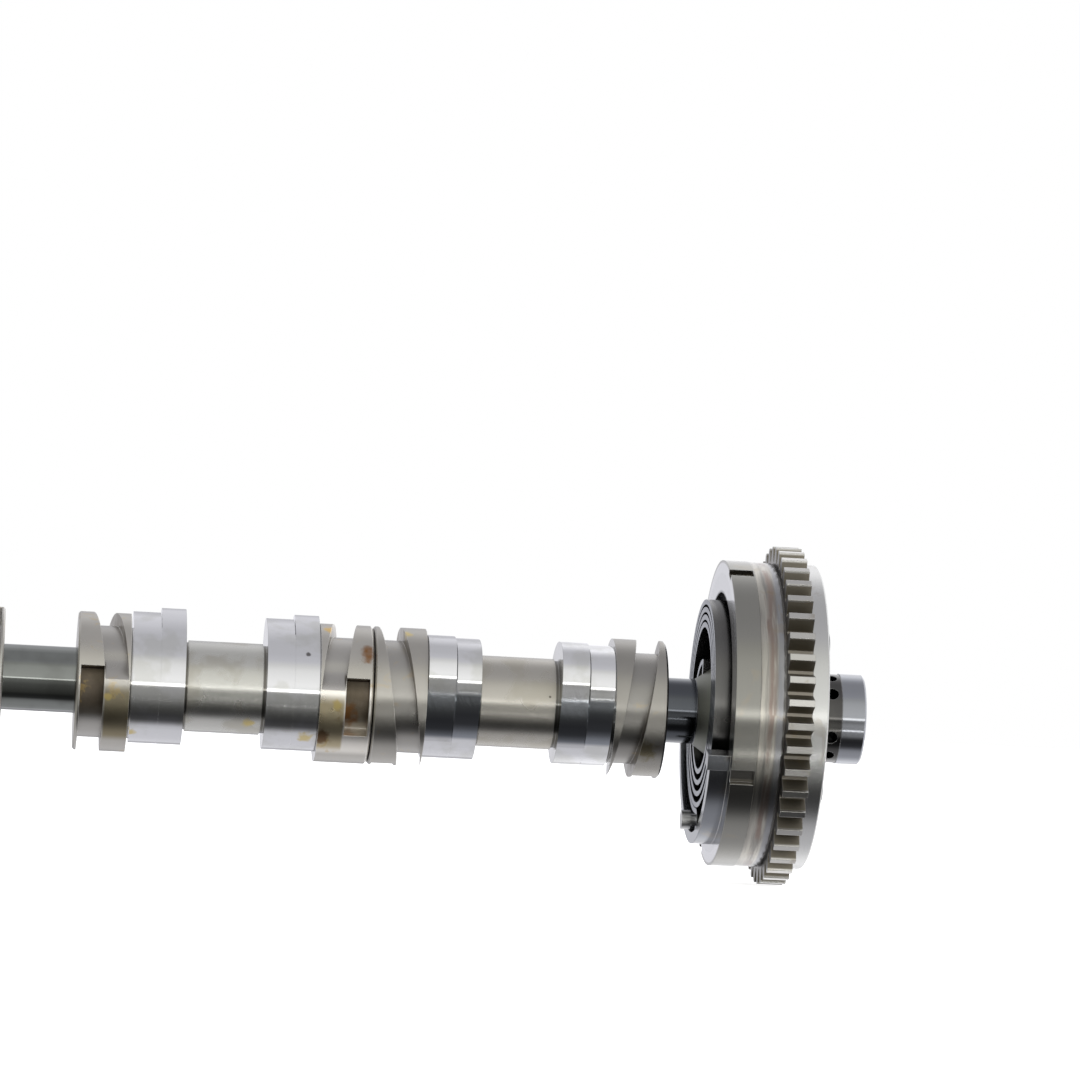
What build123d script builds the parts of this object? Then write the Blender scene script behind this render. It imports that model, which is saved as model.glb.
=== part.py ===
from build123d import *
import math
import os

# A camshaft for four cylinders. Four cam pieces slide along a splined base shaft to change
# between a low and a high lobe for each valve, and a vane phaser with the chain sprocket turns
# the whole shaft against the chain.
# Millimetres. X runs along the shaft towards the nose and +Z is up. The origin is the centre of
# the nose journal. Angles about the shaft start at -Y and run over +Z: 0 is -Y, 90 is +Z.

# Base shaft and the places of the cam pieces along it
shaft_r = 9.0
cylinder_pitch = 88.0
slide_travel = 7.0
piece_clearance = 0.4  # between the two cam pieces of a pair
pair_gap = 20.0  # bare shaft between the second and third cam pieces
phaser_gap = 3.3  # between the spring's cup and the first cam piece in its front place
rear_stub = 8.0  # bare shaft behind the last cam piece in its rear place
shaft_chamfer = 1.0
first_nose_angle = 27.0
firing_turns = [0, 1, 3, 2]  # quarter turns of the pieces' lobes, from the nose back

# Cam piece
journal_r = 12.5
journal_length = 20.4
undercut_r = 12.0
journal_undercut = 0.9  # between the journal and the lobes beside it
journal_shift = 0.3  # the journal's middle from the piece's, towards the middle of the pair
low_lobe_width = 7.6
high_lobe_width = 6.8
base_circle_r = 16.3
profile_gap = 0.15  # ground relief between a low and a high lobe
profile_gap_depth = 0.1
nose_arc_r = 11.0
opening_angle = 80.0  # half of the angle over which a valve is moved
low_lift = 5.3
high_lift = 5.9
low_lobe_lead = 7.0
high_lobe_lead = -1.0

# Switching grooves at both ends of a cam piece
unit_r = 19.0
unit_chamfer = 0.5
outer_rim = 1.0
groove_width = 6.4
groove_floor_r = 15.35
collar_r = 15.2  # between a unit and the lobes beside it
front_shift = (90.0, -125.0)  # angles over which the groove crosses, on a pair's front piece
front_lift_out = (-150.0, -178.0)  # angles over which its floor rises and lifts the pin out
rear_shift = (70.0, -145.0)
rear_lift_out = (-97.0, -122.0)
rear_groove_end = 256.0
front_groove_end = 145.0
pocket_from = 206.0
pocket_to = 256.0
undercut_overlap = 0.1  # how far the groove's inner end opens into the gap beside the lobes
cutter_margin = 1.5
shift_steps = 12
lift_out_steps = 3

# Splines between the cam pieces and the base shaft
spline_count = 12
spline_height = 0.4
spline_half_angle = 7.0
spline_clearance = 0.07
spline_length = 14.0

# Balls that hold a cam piece in either place
ball_r = 2.5
ball_clearance = 0.05
relief_r = 10.0
ball_drop = 0.1  # between a pushed-in ball and the relieved bore
ball_travel = 0.55
detent_depth = 13.0
detent_wire = 0.5
detent_turns = 3

# Phaser, from the nose back
nose_land = 6.7
oil_band = 8.3
front_cover_t = 4.6
sprocket_width = 7.0
stator_length = 7.2
rear_rim = 6.7
rear_floor = 3.7
face_clearance = 0.05
turning_clearance = 0.08

# Sprocket for an inverted-tooth chain
tooth_count = 46
chain_pitch = 6.35
tip_above_pitch = 0.24
tooth_height = 4.2
tip_land = 1.8
root_gap = 0.9
tooth_phase = 4.5
stator_r = 42.1
undercut_width = 0.8
undercut_depth = 1.4
front_cover_r = 42.2
cover_chamfer = 0.4

# Rear cover with its cup for the spring
band_r = 42.3
recess_r = 33.4
cup_wall_r = 36.5
cup_height = 5.1
cup_from = -167.0
cup_to = -17.5
lug_r = 38.5
lug_angle = 6.5
slot_count = 4
slot_width = 4.2
slot_depth = 1.75
slot_angle = 66.0

# Vanes
vane_count = 4
chamber_r = 34.0
rotor_hub_r = 17.0
land_angle = 36.0
vane_angle = 26.0
stop_clearance = 1.0
land_phase = -45.0
seal_width = 2.0
seal_height = 3.0
seal_slot_depth = 4.0
seal_spring_t = 0.3
seal_clearance = 0.05

# Cover screws
screw_r = 2.5
screw_circle_r = 27.0
screw_head_r = 4.2
screw_head_t = 2.2
screw_socket_r = 2.1
screw_socket_depth = 1.4
screw_clearance = 0.05

# Lock pin
lock_pin_r = 3.4
lock_pin_length = 10.5
lock_circle_r = 26.0
lock_bush_r = 5.0
lock_bush_length = 3.0
lock_back = 0.3  # how far the free pin lies inside the rotor's face
lock_bore_depth = 12.6
lock_wire = 0.5
lock_turns = 3
lock_pin_wall = 1.0
lock_pin_nose = 2.5  # solid end of the hollow pin

# Return spring, a flat spiral hooked to the hub inside and to a pin outside
hub_r = 12.2
hub_flare = 4.5
hub_before_rim = 1.7
strip_t = 1.4
strip_width = 6.5
spring_proud = 4.1
top_outer_r = 30.5
top_pitch = 2.1
bottom_outer_r = 25.8
bottom_pitch = 3.1
spring_turns = 4
inner_end_r = 13.9
tang_depth = 2.8
tang_clearance = 0.15
anchor_circle_r = 30.0
anchor_r = 1.7
anchor_head_r = 2.65
anchor_head_t = 2.5
anchor_neck = 1.5
anchor_clearance = 0.1

# Oil valve in the nose
nose_r = 12.5
band_drop = 0.2
nose_chamfer = 0.5
oil_hole_r = 1.8
oil_hole_back = 2.8  # oil holes' centres behind the land
oil_pair_angle = 49.0
oil_pair_half = 15.5
bolt_r = 6.5
bolt_length = 46.0
bolt_bore_clearance = 0.05
bolt_bore_extra = 2.0
spigot_short = 2.5
spool_r = 4.5
spool_clearance = 0.05
spool_length = 41.0
spool_waist_r = 3.0
spool_waist = 6.0
waist_shares = [0.2, 0.5, 0.8]  # where along the spool its waists lie
spool_front_r = 2.6
ring_r = 5.2
ring_inner_r = 3.2
ring_t = 0.8
ring_back = 0.9
valve_wire = 0.8
valve_spring_length = 8.0
valve_turns = 4
coil_sides = 10

# Places worked out from the sizes
nose_end = nose_land / 2
land_start = -nose_land / 2
front_face = land_start - oil_band
sprocket_front = front_face - front_cover_t
sprocket_back = sprocket_front - sprocket_width
stator_back = sprocket_back - stator_length
rear_face = stator_back - rear_rim
cup_edge = rear_face - cup_height
recess_floor = stator_back - rear_floor
hub_start = rear_face - hub_before_rim
rotor_back = stator_back + face_clearance
rotor_front = sprocket_front - face_clearance
spring_face = rear_face - spring_proud

pair_step = cylinder_pitch - slide_travel
piece_length = pair_step - piece_clearance
first_centre = cup_edge - phaser_gap - slide_travel - piece_length / 2
third_centre = first_centre - pair_step - piece_length - pair_gap
centres = [first_centre, first_centre - pair_step, third_centre, third_centre - pair_step]
mid_travel = [c + side * slide_travel / 2 for c, side in zip(centres, [1, -1, 1, -1])]
shaft_end = centres[3] - piece_length / 2 - slide_travel - rear_stub
outer_centre = outer_rim + groove_width / 2
unit_band = outer_rim + groove_width + slide_travel
cutter_r = unit_r + cutter_margin
lobes_reach = journal_length / 2 + journal_undercut + low_lobe_width + high_lobe_width
pitch_r = chain_pitch / 2 / math.sin(math.pi / tooth_count)
vane_step = 360 / vane_count
vane_phase = land_phase + land_angle / 2 + stop_clearance + vane_angle / 2
lock_angle = vane_phase + vane_step
spline_step = 360 / spline_count


def spot(x, radius, angle):
    """A point at a place along the shaft, a radius and an angle about it."""
    turn = math.radians(angle)
    return (x, -radius * math.cos(turn), radius * math.sin(turn))


def turned(*profile):
    """A solid turned about the shaft's axis from corners given as (x, radius)."""
    outline = Polyline([(x, 0, radius) for x, radius in profile], close=True)
    return revolve(make_face(outline), Axis.X)


def tube(start, end, outer, inner=0.0):
    """A round bar or tube about the shaft's axis."""
    return turned((start, inner), (end, inner), (end, outer), (start, outer))


def slab(section, start, end):
    """A section drawn with its x to the front and its y up, made solid from start to end."""
    across = Plane(origin=(end, 0, 0), x_dir=(0, -1, 0), z_dir=(-1, 0, 0))
    return extrude(across * section, amount=end - start)


def band(inner, outer, low, high):
    """A sketch of the band between two radii and two angles."""
    inside = CenterArc((0, 0), inner, low, high - low)
    outside = CenterArc((0, 0), outer, low, high - low)
    ends = Line(inside @ 0, outside @ 0) + Line(inside @ 1, outside @ 1)
    return make_face(inside + outside + ends)


def around(section, count, first=0.0):
    """A sketch repeated about the shaft."""
    return Sketch() + [Rot(Z=first + n * 360 / count) * section for n in range(count)]


def bar_at(start, end, radius, circle_r, angle):
    """A round bar along the shaft, off its axis."""
    return slab(Rot(Z=angle) * Pos(X=circle_r) * Circle(radius), start, end)


def drill(x, radius, angle, low, high):
    """A round radial hole between two distances from the axis."""
    low_end = Vector(*spot(x, low, angle))
    high_end = Vector(*spot(x, high, angle))
    mouth = Plane(origin=low_end, z_dir=high_end - low_end)
    return extrude(mouth * Circle(radius), amount=high - low)


def coil(start, length, turns, mean_r, wire):
    """A helical spring of square wire along Z, from the start height and within its length."""
    steps = turns * coil_sides
    sections = []
    for n in range(steps + 1):
        turn = 2 * math.pi * n / coil_sides
        out = Vector(math.cos(turn), math.sin(turn), 0)
        height = start + wire / 2 + (length - wire) * n / steps
        place = Plane(origin=mean_r * out + Vector(0, 0, height), x_dir=out, z_dir=(-out.Y, out.X, 0))
        sections.append(place * Rectangle(wire, wire))
    return loft(sections, ruled=True)


def along_x(solid):
    """A solid made along Z, laid along X."""
    return Rot(Y=90) * solid


def lobe(lift, lead):
    """A cam profile of base circle, flanks and nose arc, all tangent, with its nose at lead."""
    nose_out = base_circle_r + lift - nose_arc_r
    fall = math.cos(math.radians(opening_angle))
    squares = nose_out**2 + base_circle_r**2 - nose_arc_r**2
    flank_r = squares - 2 * nose_out * fall * base_circle_r
    flank_r /= 2 * (base_circle_r - nose_arc_r - nose_out * fall)
    back = flank_r - base_circle_r
    centre_x = -back * fall
    centre_y = -back * math.sin(math.radians(opening_angle))
    meet = math.degrees(math.atan2(-centre_y, nose_out - centre_x))
    outline = CenterArc((0, 0), base_circle_r, opening_angle, 360 - 2 * opening_angle)
    outline += CenterArc((nose_out, 0), nose_arc_r, -meet, 2 * meet)
    outline += CenterArc((centre_x, centre_y), flank_r, meet, opening_angle - meet)
    outline += CenterArc((centre_x, -centre_y), flank_r, -opening_angle, opening_angle - meet)
    return Rot(Z=lead) * make_face(outline)


def smooth(share):
    """An ease from 0 to 1 with level ends."""
    share = min(1.0, max(0.0, share))
    return share * share * (3 - 2 * share)


def groove_section(x_end, inward, angle, shift, lift_out):
    """The shifting groove's cross-section at one angle, as a face through the axis."""
    shifted = smooth((shift[0] - angle) / (shift[0] - shift[1]))
    middle = outer_centre + (slide_travel + undercut_overlap) * shifted
    raised = smooth((lift_out[0] - angle) / (lift_out[0] - lift_out[1]))
    floor = groove_floor_r + (cutter_r - cutter_margin / 3 - groove_floor_r) * raised
    near = x_end + inward * (middle - groove_width / 2)
    far = x_end + inward * (middle + groove_width / 2)
    corners = [(near, floor), (far, floor), (far, cutter_r), (near, cutter_r)]
    return make_face(Polyline([spot(x, radius, angle) for x, radius in corners], close=True))


def shifting_groove(x_end, inward, shift, lift_out):
    """The cutter of the stretch that moves a cam piece along and then lifts the pin out."""
    crossing = (lift_out[0] - shift[0]) / shift_steps
    rising = (lift_out[1] - lift_out[0]) / lift_out_steps
    angles = [shift[0] + crossing * n for n in range(shift_steps)]
    angles += [lift_out[0] + rising * n for n in range(lift_out_steps + 1)]
    return loft([groove_section(x_end, inward, angle, shift, lift_out) for angle in angles])


def outer_groove(x_end, inward, low, high):
    """The cutter of a stretch of groove beside the outer rim."""
    reach = [x_end + inward * outer_rim, x_end + inward * (outer_rim + groove_width)]
    return slab(band(groove_floor_r, cutter_r, low, high), min(reach), max(reach))


def cam_body(moved, shift, lift_out):
    """The outside of a cam piece, its grooves cut, about x = 0 and with its noses at angle 0.
    Its lobes and journal are moved from the middle."""
    end = piece_length / 2
    solid = tube(-end + unit_band, end - unit_band, undercut_r)
    solid += tube(moved - journal_length / 2, moved + journal_length / 2, journal_r)
    for x_end, inward in ((-end, 1), (end, -1)):
        edge = x_end + inward * unit_band
        unit = turned(
            (x_end, 0),
            (x_end, unit_r - unit_chamfer),
            (x_end + inward * unit_chamfer, unit_r),
            (edge, unit_r),
            (edge, 0),
        )
        unit -= shifting_groove(x_end, inward, shift, lift_out)
        if inward > 0:
            unit -= outer_groove(x_end, inward, shift[0], rear_groove_end)
        else:
            unit -= outer_groove(x_end, inward, shift[0], front_groove_end)
            unit -= outer_groove(x_end, inward, pocket_from, pocket_to)
        solid += unit
    solid += tube(-end + unit_band, moved - lobes_reach + 1, collar_r)
    solid += tube(moved + lobes_reach - 1, end - unit_band, collar_r)
    for start in (moved - lobes_reach, moved + lobes_reach - low_lobe_width - high_lobe_width):
        middle = start + low_lobe_width
        end_of_pair = middle + high_lobe_width
        solid += slab(lobe(low_lift, low_lobe_lead), start, middle - profile_gap / 2)
        solid += slab(lobe(high_lift, high_lobe_lead), middle + profile_gap / 2, end_of_pair)
        solid += tube(start + 1, end_of_pair - 1, base_circle_r - profile_gap_depth)
    return solid


def spline_section():
    """The shaft's spline profile. Its roots lie inside the shaft."""
    tip_r = shaft_r + spline_height
    tooth = band(shaft_r - spline_height, tip_r, -spline_half_angle, spline_half_angle)
    return Circle(shaft_r - spline_height / 2) + around(tooth, spline_count)


def spline_bore():
    """The bore's profile: a circle with teeth that stand into it, between the shaft's teeth."""
    root_r = shaft_r + spline_height + spline_clearance
    half = spline_step / 2 - spline_half_angle
    half -= math.degrees(spline_clearance / shaft_r)
    tooth = band(shaft_r + spline_clearance, root_r + spline_height, -half, half)
    return Circle(root_r) - around(tooth, spline_count, spline_step / 2)


def cam_piece(moved, shift, lift_out):
    """A cam piece about x = 0, with its noses at angle 0 and its lobes moved from the middle."""
    end = piece_length / 2
    relief = end - spline_length
    bore = tube(-relief, relief, relief_r)
    for start in (-end - 1, relief - 1):
        bore += slab(spline_bore(), start, start + spline_length + 2)
    seat_r = ball_in() + ball_travel + ball_r + ball_clearance
    reach = ball_r + ball_clearance
    half = math.sqrt(2) * reach - (relief_r - seat_r + reach)
    drop = seat_r - relief_r
    for side in (-1, 1):
        middle = side * slide_travel / 2
        bore += turned(
            (middle - half - drop, relief_r - drop),
            (middle - half + drop, seat_r),
            (middle + half - drop, seat_r),
            (middle + half + drop, relief_r - drop),
        )
    return cam_body(moved, shift, lift_out) - bore


def ball_in():
    """Height of a ball's centre when the cam piece's bore pushes it in."""
    return relief_r - ball_drop - ball_r


def base_shaft():
    """The shaft with its splines, ball holes and hub, bored for the valve's bolt."""
    flare_start = hub_start - hub_flare
    spigot_end = rotor_front - spigot_short
    solid = turned(
        (shaft_end, 0),
        (shaft_end, shaft_r - shaft_chamfer),
        (shaft_end + shaft_chamfer, shaft_r),
        (flare_start, shaft_r),
        (hub_start, hub_r),
        (rotor_back, hub_r),
        (rotor_back, shaft_r),
        (spigot_end, shaft_r),
        (spigot_end, 0),
    )
    for middle in mid_travel:
        reach = (piece_length - slide_travel) / 2
        for side in (-1, 1):
            outside = middle + side * (reach - 1)
            inside = middle + side * (reach + slide_travel - spline_length - 1)
            start, end = sorted([outside, inside])
            solid += slab(Rot(Z=first_nose_angle) * spline_section(), start, end)
        solid -= drill(middle, ball_r + ball_clearance, 90, shaft_r - detent_depth, shaft_r + 1)
    bolt_end = rotor_front - bolt_length
    solid -= tube(bolt_end - bolt_bore_extra, spigot_end, bolt_r + bolt_bore_clearance)
    tang_low = hub_r - tang_depth
    half = strip_t / 2 + tang_clearance
    slot = Pos(0, (tang_low + hub_r + 1) / 2) * Rectangle(2 * half, hub_r + 1 - tang_low)
    return solid - slab(slot, spring_face - 1, recess_floor)


def detent_ball(middle):
    """A ball held below the bore of its cam piece."""
    return Pos(middle, 0, ball_in()) * Sphere(ball_r)


def detent_spring(middle):
    """The spring under a ball."""
    bottom = shaft_r - detent_depth
    length = ball_in() - ball_r - bottom
    return Pos(X=middle) * coil(bottom, length, detent_turns, ball_r - detent_wire, detent_wire)


def tooth_ring():
    """The sprocket's outline: straight-sided teeth between the root and tip circles."""
    tip_r = pitch_r + tip_above_pitch
    root_r = tip_r - tooth_height
    tip_half = math.degrees(tip_land / 2 / tip_r)
    step = 360 / tooth_count
    root_half = step / 2 - math.degrees(root_gap / 2 / root_r)
    points = []
    for n in range(tooth_count):
        centre = tooth_phase + n * step
        corners = [(root_r, -root_half), (tip_r, -tip_half), (tip_r, tip_half), (root_r, root_half)]
        for radius, turn in corners:
            angle = math.radians(centre + turn)
            points.append((radius * math.cos(angle), radius * math.sin(angle)))
    return make_face(Polyline(points, close=True))


def screw_holes(start, end):
    """Clearance holes for the cover screws."""
    hole = Pos(X=screw_circle_r) * Circle(screw_r + screw_clearance)
    return slab(around(hole, vane_count, land_phase), start, end)


def stator_sprocket():
    """The phaser's middle: chain teeth outside, and lands between the vanes inside."""
    solid = tube(stator_back, sprocket_back - undercut_width, stator_r)
    solid += tube(stator_back, sprocket_front, stator_r - undercut_depth)
    solid += slab(tooth_ring(), sprocket_back, sprocket_front)
    land = band(rotor_hub_r + face_clearance, chamber_r + 1, -land_angle / 2, land_angle / 2)
    chamber = Circle(chamber_r) - around(land, vane_count, land_phase)
    solid -= slab(chamber, stator_back - 1, sprocket_front + 1)
    return solid - screw_holes(stator_back - 1, sprocket_front + 1)


def rear_cover():
    """The spring-side cover: a rim with slots, a recess for the spring and part of a cup."""
    solid = tube(rear_face, stator_back, band_r)
    solid += slab(band(recess_r - 1, cup_wall_r, cup_from, cup_to), cup_edge, rear_face + 1)
    solid += slab(band(recess_r - 1, lug_r, cup_to - lug_angle, cup_to), cup_edge - 1, rear_face + 1)
    solid -= tube(cup_edge - 2, recess_floor, recess_r)
    solid -= tube(recess_floor - 1, stator_back + 1, hub_r + turning_clearance)
    notch = Pos(X=band_r) * Rectangle(2 * slot_depth, slot_width)
    solid -= slab(around(notch, slot_count, slot_angle), rear_face - 1, stator_back - 0.3)
    solid -= bar_at(stator_back - lock_bush_length, stator_back + 1, lock_bush_r, lock_circle_r, lock_angle)
    solid -= bar_at(recess_floor - 1, stator_back + 1, anchor_r, anchor_circle_r, -90)
    return solid - screw_holes(recess_floor - 1, stator_back + 1)


def front_cover():
    """The smooth flange in front of the sprocket."""
    bore = nose_r - band_drop + turning_clearance
    solid = turned(
        (sprocket_front, bore),
        (sprocket_front, front_cover_r),
        (front_face - cover_chamfer, front_cover_r),
        (front_face, front_cover_r - cover_chamfer),
        (front_face, bore),
    )
    return solid - screw_holes(sprocket_front - 1, front_face + 1)


def cover_screws():
    """Four screws from the front cover through the stator into the rear cover."""
    socket = RegularPolygon(screw_socket_r, 6)
    head = Circle(screw_head_r)
    shank = Circle(screw_r)
    head_end = front_face + screw_head_t
    screws = []
    for n in range(vane_count):
        place = Rot(Z=land_phase + n * vane_step) * Pos(X=screw_circle_r)
        screw = slab(place * shank, recess_floor + 0.3, front_face + 0.1)
        screw += slab(place * head, front_face, head_end)
        screws.append(screw - slab(place * socket, head_end - screw_socket_depth, head_end + 1))
    return Compound(children=screws)


def rotor():
    """The rotor with its vanes, seal slots and the lock pin's bore."""
    vane = band(rotor_hub_r - 1, chamber_r - face_clearance, -vane_angle / 2, vane_angle / 2)
    outline = Circle(rotor_hub_r) + around(vane, vane_count, vane_phase)
    slot = Pos(X=chamber_r - seal_slot_depth / 2) * Rectangle(seal_slot_depth, seal_width)
    outline -= around(slot, vane_count, vane_phase)
    outline -= Circle(shaft_r + bolt_bore_clearance)
    solid = slab(outline, rotor_back, rotor_front)
    bore_end = rotor_back + lock_bore_depth
    return solid - bar_at(rotor_back - 1, bore_end, lock_pin_r + spool_clearance, lock_circle_r, lock_angle)


def vane_seals():
    """A seal strip in the tip of each vane."""
    outer = chamber_r - face_clearance
    strip = Pos(X=outer - seal_height / 2) * Rectangle(seal_height, seal_width - 2 * seal_clearance)
    return slab(around(strip, vane_count, vane_phase), rotor_back, rotor_front)


def vane_seal_springs():
    """A bowed leaf under each seal strip."""
    seat_r = chamber_r - seal_slot_depth
    room = seal_slot_depth - seal_height - face_clearance
    length = rotor_front - rotor_back - 2
    middle = (rotor_front + rotor_back) / 2
    top = (middle, seat_r + room - seal_spring_t)
    bow = ThreePointArc((middle - length / 2, seat_r), top, (middle + length / 2, seat_r))
    lid = Pos(Y=seal_spring_t) * bow
    ends = Line(bow @ 0, lid @ 0) + Line(bow @ 1, lid @ 1)
    width = seal_width - 4 * seal_clearance
    leaf = extrude(Plane.XZ * make_face(bow + lid + ends), amount=width / 2, both=True)
    leaves = [Rot(X=90 - vane_phase - n * vane_step) * leaf for n in range(vane_count)]
    return Compound(children=leaves)


def lock_pin():
    """The pin that locks the rotor to the rear cover, here drawn back, hollow for its spring."""
    tip = rotor_back + lock_back
    solid = bar_at(tip, tip + lock_pin_length, lock_pin_r, lock_circle_r, lock_angle)
    hollow_r = lock_pin_r - lock_pin_wall
    hollow_start = tip + lock_pin_nose
    return solid - bar_at(hollow_start, tip + lock_pin_length + 1, hollow_r, lock_circle_r, lock_angle)


def lock_spring():
    """The spring inside the lock pin."""
    start = rotor_back + lock_back + lock_pin_nose
    length = rotor_back + lock_bore_depth - start
    wound = coil(0, length, lock_turns, lock_pin_r - lock_pin_wall - lock_wire, lock_wire)
    return Pos(*spot(start, lock_circle_r, lock_angle)) * along_x(wound)


def lock_bush():
    """The hardened bush in the rear cover that the lock pin enters."""
    start = stator_back - lock_bush_length
    solid = bar_at(start, stator_back, lock_bush_r, lock_circle_r, lock_angle)
    hole_r = lock_pin_r + turning_clearance
    return solid - bar_at(start - 1, stator_back + 1, hole_r, lock_circle_r, lock_angle)


def strip_arc(centre, radius, low, high):
    """A sketch of one arc of the spring's strip."""
    return Pos(Y=centre) * band(radius - strip_t / 2, radius + strip_t / 2, low, high)


def return_spring():
    """A spiral of half-turn arcs, close at the top and open at the bottom, with hooked ends."""
    tops = [top_outer_r - n * top_pitch for n in range(spring_turns)] + [inner_end_r]
    bottoms = [bottom_outer_r - n * bottom_pitch for n in range(spring_turns)]
    hook_r = anchor_r + anchor_clearance + strip_t / 2
    outer_bottom = anchor_circle_r - hook_r
    section = strip_arc((tops[0] - outer_bottom) / 2, (tops[0] + outer_bottom) / 2, 90, 270)
    for n, bottom in enumerate(bottoms):
        front = (tops[n] - bottom) / 2
        back = (tops[n + 1] - bottom) / 2
        section += strip_arc(front, (tops[n] + bottom) / 2, -90, 90)
        section += strip_arc(back, (tops[n + 1] + bottom) / 2, 90, 270)
    section += strip_arc(-anchor_circle_r, hook_r, -90, 90)
    tang_low = hub_r - tang_depth + tang_clearance
    tang_high = inner_end_r + strip_t / 2
    section += Pos(0, (tang_low + tang_high) / 2) * Rectangle(strip_t, tang_high - tang_low)
    return slab(section, spring_face, spring_face + strip_width)


def anchor_pin():
    """The headed pin in the rear cover that holds the spring's outer end."""
    neck_end = spring_face - anchor_neck
    solid = bar_at(neck_end, stator_back, anchor_r, anchor_circle_r, -90)
    return solid + bar_at(neck_end - anchor_head_t, neck_end, anchor_head_r, anchor_circle_r, -90)


def valve_body():
    """The nose: a hollow bolt into the shaft, with the front journal and the oil holes."""
    bolt_end = rotor_front - bolt_length
    solid = turned(
        (bolt_end, 0),
        (bolt_end, bolt_r - 1),
        (bolt_end + 1, bolt_r),
        (rotor_front, bolt_r),
        (rotor_front, nose_r - band_drop),
        (land_start, nose_r - band_drop),
        (land_start, nose_r),
        (nose_end - nose_chamfer, nose_r),
        (nose_end, nose_r - nose_chamfer),
        (nose_end, 0),
    )
    bore_r = spool_r + spool_clearance
    solid -= tube(spool_back() - valve_spring_length, nose_end + 1, bore_r)
    solid -= tube(ring_start(), ring_start() + ring_t, ring_r)
    for n in range(4):
        for side in (-1, 1):
            angle = oil_pair_angle + side * oil_pair_half + 90 * n
            solid -= drill(land_start - oil_hole_back, oil_hole_r, angle, 0, nose_r + 1)
    return solid


def ring_start():
    """Where the valve's retaining ring begins."""
    return nose_end - ring_back - ring_t


def spool_back():
    """The spool's rear end."""
    return ring_start() - spool_length


def valve_spool():
    """The valve's spool, with waists between its lands."""
    back, front = spool_back(), ring_start()
    solid = tube(back, front, spool_r)
    for share in waist_shares:
        middle = back + share * (front - back)
        solid -= tube(middle - spool_waist / 2, middle + spool_waist / 2, spool_r + 1, spool_waist_r)
    return solid + tube(front, front + ring_t, spool_front_r)


def retaining_ring():
    """The split ring that keeps the spool in."""
    ring = tube(ring_start(), ring_start() + ring_t, ring_r, ring_inner_r)
    gap = Pos(X=ring_r) * Rectangle(2 * (ring_r - ring_inner_r) + 2, 2)
    return ring - slab(gap, ring_start() - 1, ring_start() + ring_t + 1)


def valve_spring():
    """The spring behind the spool."""
    wound = coil(0, valve_spring_length, valve_turns, spool_r - valve_wire, valve_wire)
    return Pos(X=spool_back() - valve_spring_length) * along_x(wound)


def write(name, solid):
    export_step(solid, f"parts/{name}.step")


os.makedirs("parts", exist_ok=True)
write("base_shaft", base_shaft())
front_piece = cam_piece(-journal_shift, front_shift, front_lift_out)
rear_piece = cam_piece(journal_shift, rear_shift, rear_lift_out)
for number, (centre, middle, turns) in enumerate(zip(centres, mid_travel, firing_turns), 1):
    turn = first_nose_angle + 90 * turns
    piece = front_piece if middle > centre else rear_piece
    write(f"cam_piece_{number}", Pos(X=centre) * Rot(X=-turn) * piece)
    write(f"detent_ball_{number}", detent_ball(middle))
    write(f"detent_spring_{number}", detent_spring(middle))
write("stator_sprocket", stator_sprocket())
write("rear_cover", rear_cover())
write("front_cover", front_cover())
write("cover_screws", cover_screws())
write("rotor", rotor())
write("vane_seals", vane_seals())
write("vane_seal_springs", vane_seal_springs())
write("lock_pin", lock_pin())
write("lock_pin_spring", lock_spring())
write("lock_bush", lock_bush())
write("return_spring", return_spring())
write("spring_anchor_pin", anchor_pin())
write("valve_body", valve_body())
write("valve_spool", valve_spool())
write("valve_retaining_ring", retaining_ring())
write("valve_spring", valve_spring())
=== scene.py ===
# %% [markdown]
# # A sliding-cam camshaft, dressed for its photograph
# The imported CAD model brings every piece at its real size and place, in metres. X runs along the
# shaft towards the nose, Z is up and the photograph is taken from -Y. This lesson gives each
# piece the finish it has on the real shaft: ground lobes, satin journals, oily grooves, turned
# phaser plates and a blued spring. No piece is moved, no mesh is edited, and the springs get
# modifiers with which they follow the pieces that they act on.

import math

import bpy
from mathutils import Matrix, Vector


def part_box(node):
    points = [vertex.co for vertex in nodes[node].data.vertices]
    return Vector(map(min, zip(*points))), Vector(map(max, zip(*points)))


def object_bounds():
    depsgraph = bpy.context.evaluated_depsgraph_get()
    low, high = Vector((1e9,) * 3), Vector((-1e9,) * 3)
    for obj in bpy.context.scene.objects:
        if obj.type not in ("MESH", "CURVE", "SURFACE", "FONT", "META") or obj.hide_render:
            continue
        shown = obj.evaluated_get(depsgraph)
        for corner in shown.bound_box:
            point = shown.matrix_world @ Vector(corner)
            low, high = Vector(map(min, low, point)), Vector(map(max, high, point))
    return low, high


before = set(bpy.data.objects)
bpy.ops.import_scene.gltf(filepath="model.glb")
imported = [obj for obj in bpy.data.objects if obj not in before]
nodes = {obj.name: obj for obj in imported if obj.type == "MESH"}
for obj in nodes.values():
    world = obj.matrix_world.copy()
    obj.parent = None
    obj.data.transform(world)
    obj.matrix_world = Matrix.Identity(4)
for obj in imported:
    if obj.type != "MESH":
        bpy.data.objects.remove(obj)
cad_low, cad_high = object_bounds()
print(len(nodes), "pieces from", tuple(cad_low), "to", tuple(cad_high))

# %% [markdown]
# ## The camera
# The shaft lies across the lower half of a square picture, falls 2.9 degrees to the right, and
# shows a little of the left sides of its discs. A long lens from 1.6 m keeps the discs' rims
# nearly straight. A camera could be placed by eye, but four numbers that were read from the
# photograph place it at once: the yaw, the slope, the scale, and the point where the picture's
# centre meets the shaft.

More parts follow.
